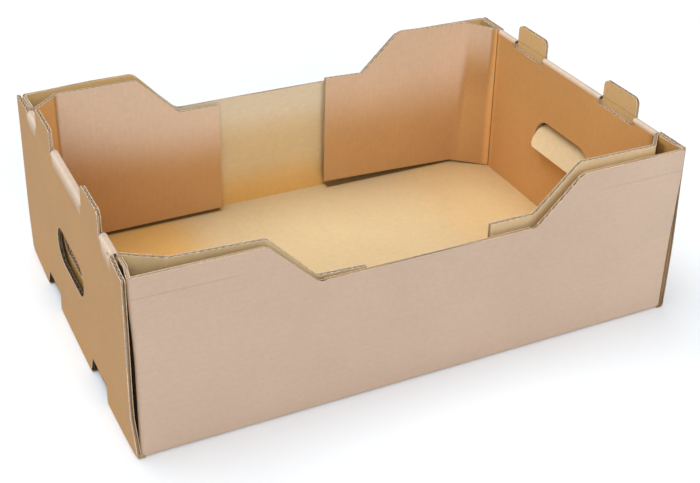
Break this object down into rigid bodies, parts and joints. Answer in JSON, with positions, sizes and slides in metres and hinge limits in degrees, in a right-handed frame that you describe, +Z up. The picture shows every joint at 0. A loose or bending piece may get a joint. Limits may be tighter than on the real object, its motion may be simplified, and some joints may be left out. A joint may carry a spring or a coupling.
{
  "type": "cardboard stacking tray box",
  "caption": "Open corrugated cardboard tray with dipped long walls, rolled end panels, slanted corner posts, stacking tabs and notches, and hand holes with hinged push-in flaps.",
  "frame": {"origin": "centre of the underside", "axes": "+X along the length towards the right-hand end, +Y towards the back long wall, +Z up"},
  "size_m": [0.6, 0.4, 0.217],
  "materials": {
    "corrugated_board": "unprinted brown kraft corrugated board, matt"
  },
  "bodies": {
    "tray": {"folded_tray": "corrugated_board"},
    "left_hand_flap": {"left_hand_flap": "corrugated_board"},
    "right_hand_flap": {"right_hand_flap": "corrugated_board"}
  },
  "joints": [
    {"name": "left_hand_flap_crease", "type": "hinge", "parent": "tray", "child": "left_hand_flap", "pos_m": [-0.296, 0, 0.1182], "axis": [0, -1, 0], "range_deg": [-22, 48]},
    {"name": "right_hand_flap_crease", "type": "hinge", "parent": "tray", "child": "right_hand_flap", "pos_m": [0.296, 0, 0.1182], "axis": [0, 1, 0], "range_deg": [-34, 36]}
  ]
}
